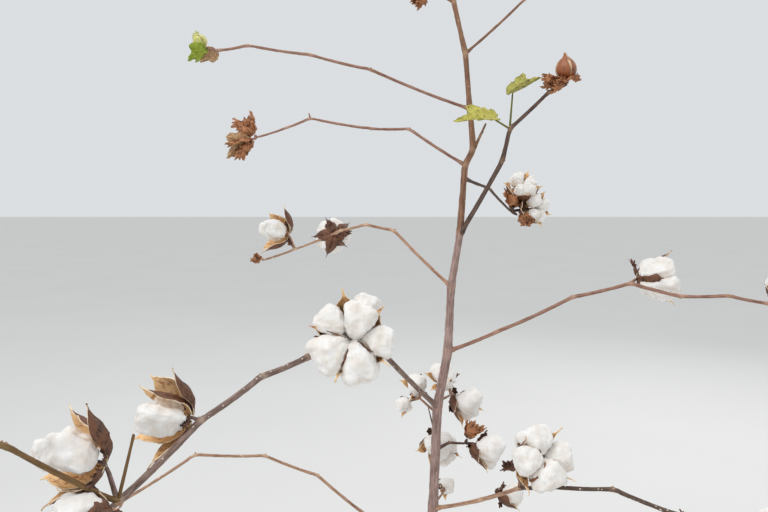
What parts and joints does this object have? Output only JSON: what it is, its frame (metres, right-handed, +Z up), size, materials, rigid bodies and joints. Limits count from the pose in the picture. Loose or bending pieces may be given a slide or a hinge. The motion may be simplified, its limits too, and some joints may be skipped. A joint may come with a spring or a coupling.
{
  "type": "cotton plant",
  "caption": "Nearly bare harvest-ready cotton plant with a leaning stem, zigzag fruiting boughs and open white bolls, rooted in level ground at its foot.",
  "frame": {"origin": "centre of the flat cut under the main stem, at ground level", "axes": "+Z up from the ground, +X to the right and +Y to the back as the plant is seen in the picture"},
  "size_m": [0.7705, 0.7369, 1.2869],
  "materials": {
    "bark": "smooth mauve-brown bark with pale lenticels and leaf scars",
    "lint": "soft matt white cotton lint with dry brown burrs",
    "leaf": "yellow-green leaf with brown spots"
  },
  "bodies": {
    "root": {"boll_front_left": "lint", "boll_lower_right": "lint", "bough_back_right": "bark", "bough_base_back": "bark", "bough_base_front": "bark", "bough_base_left": "bark", "bough_base_right": "bark", "bough_crown_back": "bark", "bough_crown_front": "bark", "bough_crown_tip": "bark", "bough_dark_right": "bark", "bough_front_left": "bark", "bough_lower_left": "bark", "bough_lower_right": "bark", "bough_middle_right": "bark", "bough_second_left": "bark", "bough_skirt_back": "bark", "bough_skirt_front": "bark", "bough_third_left": "bark", "bough_top_left": "bark", "bough_top_right": "bark", "bough_upper_left": "bark", "leaf_dark_right_lower": "leaf", "leaf_dark_right_upper": "leaf", "main_stem": "bark", "spray_back_right": "lint", "spray_base_back": "lint", "spray_base_front": "lint", "spray_base_left": "lint", "spray_base_right": "lint", "spray_behind_stem": "lint", "spray_crown_back": "lint", "spray_crown_front": "lint", "spray_crown_tip": "lint", "spray_dark_right": "lint", "spray_dead_twig": "lint", "spray_front_left": "lint", "spray_inner_left": "lint", "spray_inner_right": "lint", "spray_lower_left": "lint", "spray_lower_right": "lint", "spray_middle_right": "lint", "spray_near_right": "lint", "spray_second_left": "lint", "spray_skirt_back": "lint", "spray_skirt_front": "lint", "spray_small_back": "lint", "spray_stem_tip": "lint", "spray_third_left": "lint", "spray_top_left": "lint", "spray_top_right": "lint", "spray_upper_left": "lint", "spray_upper_stub": "lint"}
  },
  "joints": []
}
